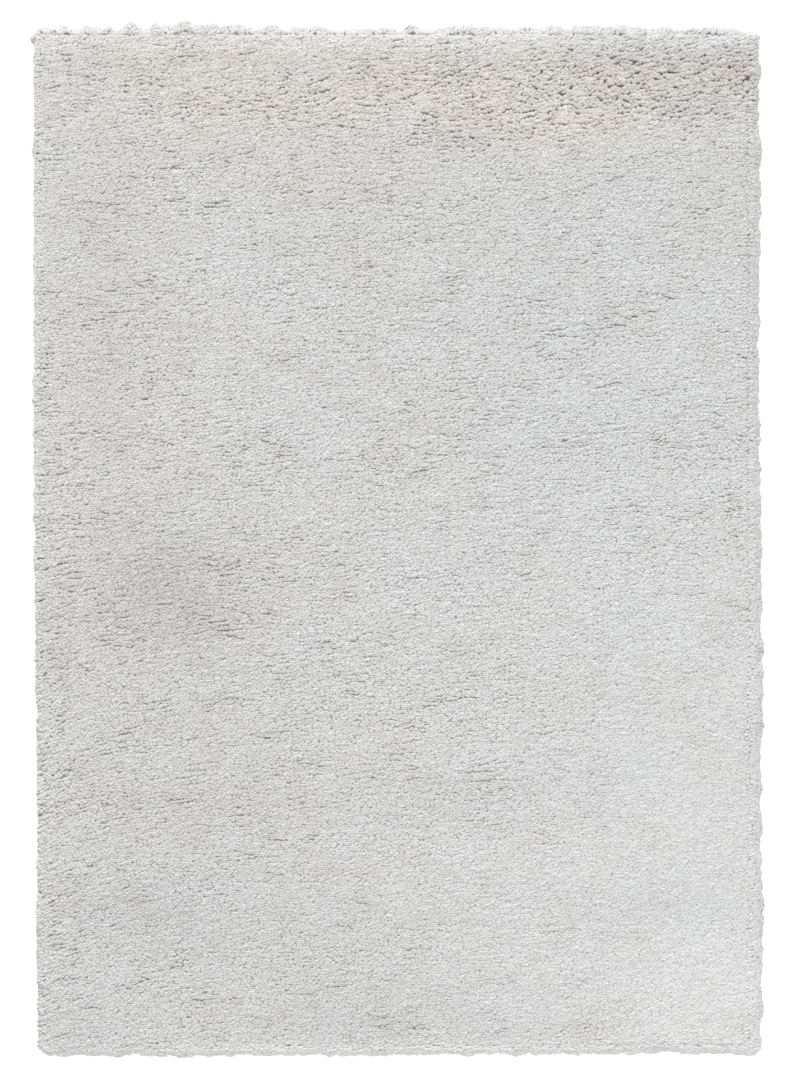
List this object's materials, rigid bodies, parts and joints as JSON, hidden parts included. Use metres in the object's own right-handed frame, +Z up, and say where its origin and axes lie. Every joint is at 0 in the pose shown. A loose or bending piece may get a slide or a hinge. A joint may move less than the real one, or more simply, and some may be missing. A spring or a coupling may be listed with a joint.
{
  "type": "shag rug",
  "caption": "Cream deep-pile shag rug: a flat rectangle with rounded corners and soft, uneven pile edges, lying on its woven underside to cover a floor.",
  "frame": {"origin": "on the floor, under the middle of the rug's bounding box", "axes": "+X across the rug, +Y along it to the end whose tufts stick out most, +Z up through the pile"},
  "size_m": [1.2124, 1.7086, 0.0337],
  "materials": {
    "pile": "matt cream microfibre cut pile, dense and soft, lying slightly over"
  },
  "bodies": {
    "root": {"rug": "pile"}
  },
  "joints": []
}
